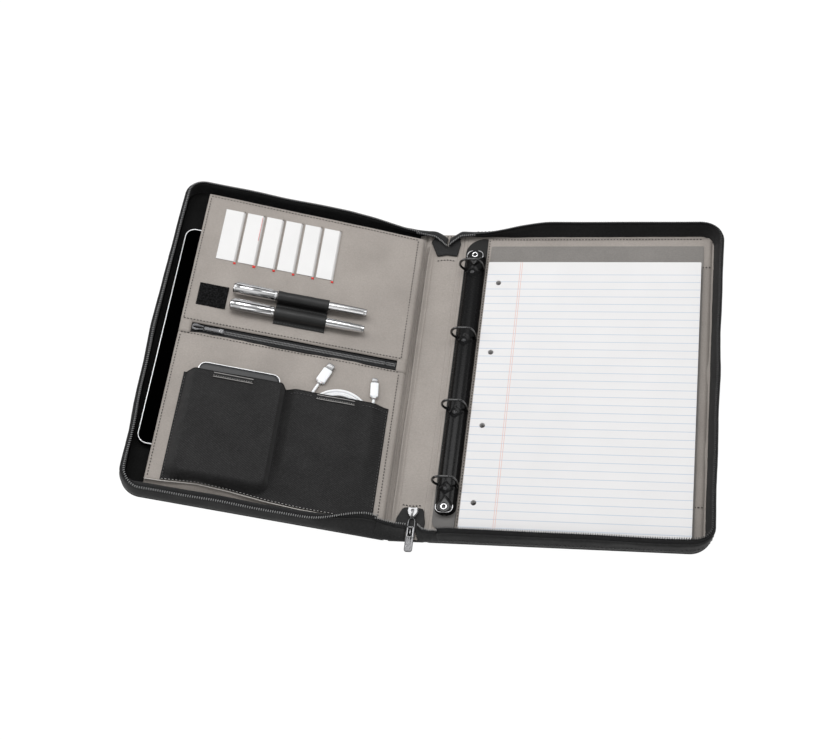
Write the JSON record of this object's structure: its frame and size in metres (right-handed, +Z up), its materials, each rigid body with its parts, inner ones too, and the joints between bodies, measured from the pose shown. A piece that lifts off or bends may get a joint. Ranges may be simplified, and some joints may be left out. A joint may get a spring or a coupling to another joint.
{
  "type": "zip portfolio case",
  "caption": "Open zip-round A4 portfolio case: ring binder and writing pad on one side; organiser panel with cards, pens, tablet sleeve, power bank and cable pockets on the other.",
  "frame": {"origin": "centre of the back cover's underside, which lies flat", "axes": "+X from the spine across the back cover, +Y along the spine to the far edge, +Z up out of the open case"},
  "size_m": [0.5398, 0.3575, 0.1073],
  "materials": {
    "shell_fabric": "black fine woven shell fabric",
    "lining": "warm grey smooth lining cloth",
    "strip": "dark grey coated strip",
    "enamel": "black gloss enamel on steel",
    "rail_steel": "plated steel",
    "zip_metal": "bright plated die casting",
    "zip_nylon": "black nylon coil and tape",
    "paper": "matt white sheet",
    "card": "matt white card",
    "board": "dark grey board",
    "hook_pile": "black hook tape",
    "pen_metal": "satin silver",
    "bank": "dark grey with a silver edge",
    "screen_glass": "black glass",
    "cable_plastic": "white",
    "pull_paint": "dark painted"
  },
  "bodies": {
    "back_cover": {"back_cover_shell": "shell_fabric", "back_cover_lining": "lining", "back_gusset_wall": "shell_fabric", "back_zip_chain": "zip_nylon", "pad_pocket_panel": "lining", "ring_mount_strip": "strip", "ring_cover_plate": "enamel", "writing_pad": "paper", "pad_backing_board": "board"},
    "spine": {"spine_shell": "shell_fabric", "spine_lining": "lining", "near_zip_end_tab": "shell_fabric", "far_zip_end_tab": "shell_fabric", "outer_zip_slider": "zip_metal"},
    "front_cover": {"front_cover_shell": "shell_fabric", "front_cover_lining": "lining", "front_gusset_wall": "shell_fabric", "front_zip_chain": "zip_nylon", "tablet_sleeve_lining": "shell_fabric", "tablet": "screen_glass", "organiser_panel_upper": "lining", "organiser_panel_lower": "lining", "card_1": "card", "card_2": "card", "card_3": "card", "card_4": "card", "card_5": "card", "card_6": "card", "hook_and_loop_patch": "hook_pile", "upper_pen_loop": "shell_fabric", "lower_pen_loop": "shell_fabric", "inner_zip_chain": "zip_nylon", "power_bank_pocket": "shell_fabric", "cable_pocket": "shell_fabric", "wide_connector": "cable_plastic", "small_connector": "cable_plastic", "cable_wide_tail": "cable_plastic", "cable_small_tail": "cable_plastic", "cable_coil": "cable_plastic"},
    "left_ring_rail": {"left_ring_blade": "rail_steel", "left_half_ring_1": "enamel", "left_half_ring_2": "enamel", "left_half_ring_3": "enamel", "left_half_ring_4": "enamel"},
    "right_ring_rail": {"right_ring_blade": "rail_steel", "right_half_ring_1": "enamel", "right_half_ring_2": "enamel", "right_half_ring_3": "enamel", "right_half_ring_4": "enamel"},
    "near_ring_lever": {"near_ring_lever": "enamel"},
    "far_ring_lever": {"far_ring_lever": "enamel"},
    "outer_zip_pull": {"outer_zip_pull": "zip_metal"},
    "inner_zip_slider": {"inner_zip_slider": "pull_paint"},
    "inner_zip_pull": {"inner_zip_pull": "pull_paint"},
    "upper_pen": {"upper_pen_barrel": "pen_metal", "upper_pen_cap": "pen_metal"},
    "lower_pen": {"lower_pen_barrel": "pen_metal", "lower_pen_cap": "pen_metal"},
    "power_bank": {"power_bank": "bank"}
  },
  "joints": [
    {"name": "spine_fold", "type": "hinge", "parent": "back_cover", "child": "spine", "pos_m": [-0.129, 0, 0.004], "axis": [0, 1, 0], "range_deg": [0, 90]},
    {"name": "front_cover_fold", "type": "hinge", "parent": "spine", "child": "front_cover", "pos_m": [-0.167, 0, 0.004], "axis": [0, 1, 0], "range_deg": [0, 70]},
    {"name": "left_ring_rail_turn", "type": "hinge", "parent": "back_cover", "child": "left_ring_rail", "pos_m": [-0.1225, 0, 0.0069], "axis": [0, 1, 0], "range_deg": [-20, 0]},
    {"name": "right_ring_rail_turn", "type": "hinge", "parent": "back_cover", "child": "right_ring_rail", "pos_m": [-0.1049, 0, 0.0069], "axis": [0, 1, 0], "range_deg": [0, 20]},
    {"name": "near_ring_lever_lift", "type": "hinge", "parent": "back_cover", "child": "near_ring_lever", "pos_m": [-0.1137, -0.1295, 0.0122], "axis": [-1, 0, 0], "range_deg": [0, 30]},
    {"name": "far_ring_lever_lift", "type": "hinge", "parent": "back_cover", "child": "far_ring_lever", "pos_m": [-0.1137, 0.1255, 0.0122], "axis": [1, 0, 0], "range_deg": [0, 30]},
    {"name": "outer_zip_pull_lift", "type": "hinge", "parent": "spine", "child": "outer_zip_pull", "pos_m": [-0.1434, -0.1515, 0.0077], "axis": [-1, 0, 0], "range_deg": [0, 105]},
    {"name": "inner_zip_travel", "type": "slide", "parent": "front_cover", "child": "inner_zip_slider", "axis": [0.9397, 0, -0.342], "range_m": [0, 0.175]},
    {"name": "inner_zip_pull_lift", "type": "hinge", "parent": "inner_zip_slider", "child": "inner_zip_pull", "pos_m": [-0.35391, 0.0045, 0.08459], "axis": [0, -1, 0], "range_deg": [0, 90]},
    {"name": "upper_pen_slide", "type": "slide", "parent": "front_cover", "child": "upper_pen", "axis": [-0.9397, 0, 0.342], "range_m": [0, 0.045]},
    {"name": "lower_pen_slide", "type": "slide", "parent": "front_cover", "child": "lower_pen", "axis": [-0.9397, 0, 0.342], "range_m": [0, 0.045]},
    {"name": "power_bank_slide", "type": "slide", "parent": "front_cover", "child": "power_bank", "axis": [0, 1, 0], "range_m": [0, 0.028]}
  ],
  "couplings": [
    {"joint": "right_ring_rail_turn", "follows": "left_ring_rail_turn", "ratio": -1},
    {"joint": "near_ring_lever_lift", "follows": "left_ring_rail_turn", "ratio": -1.5},
    {"joint": "far_ring_lever_lift", "follows": "left_ring_rail_turn", "ratio": -1.5}
  ]
}
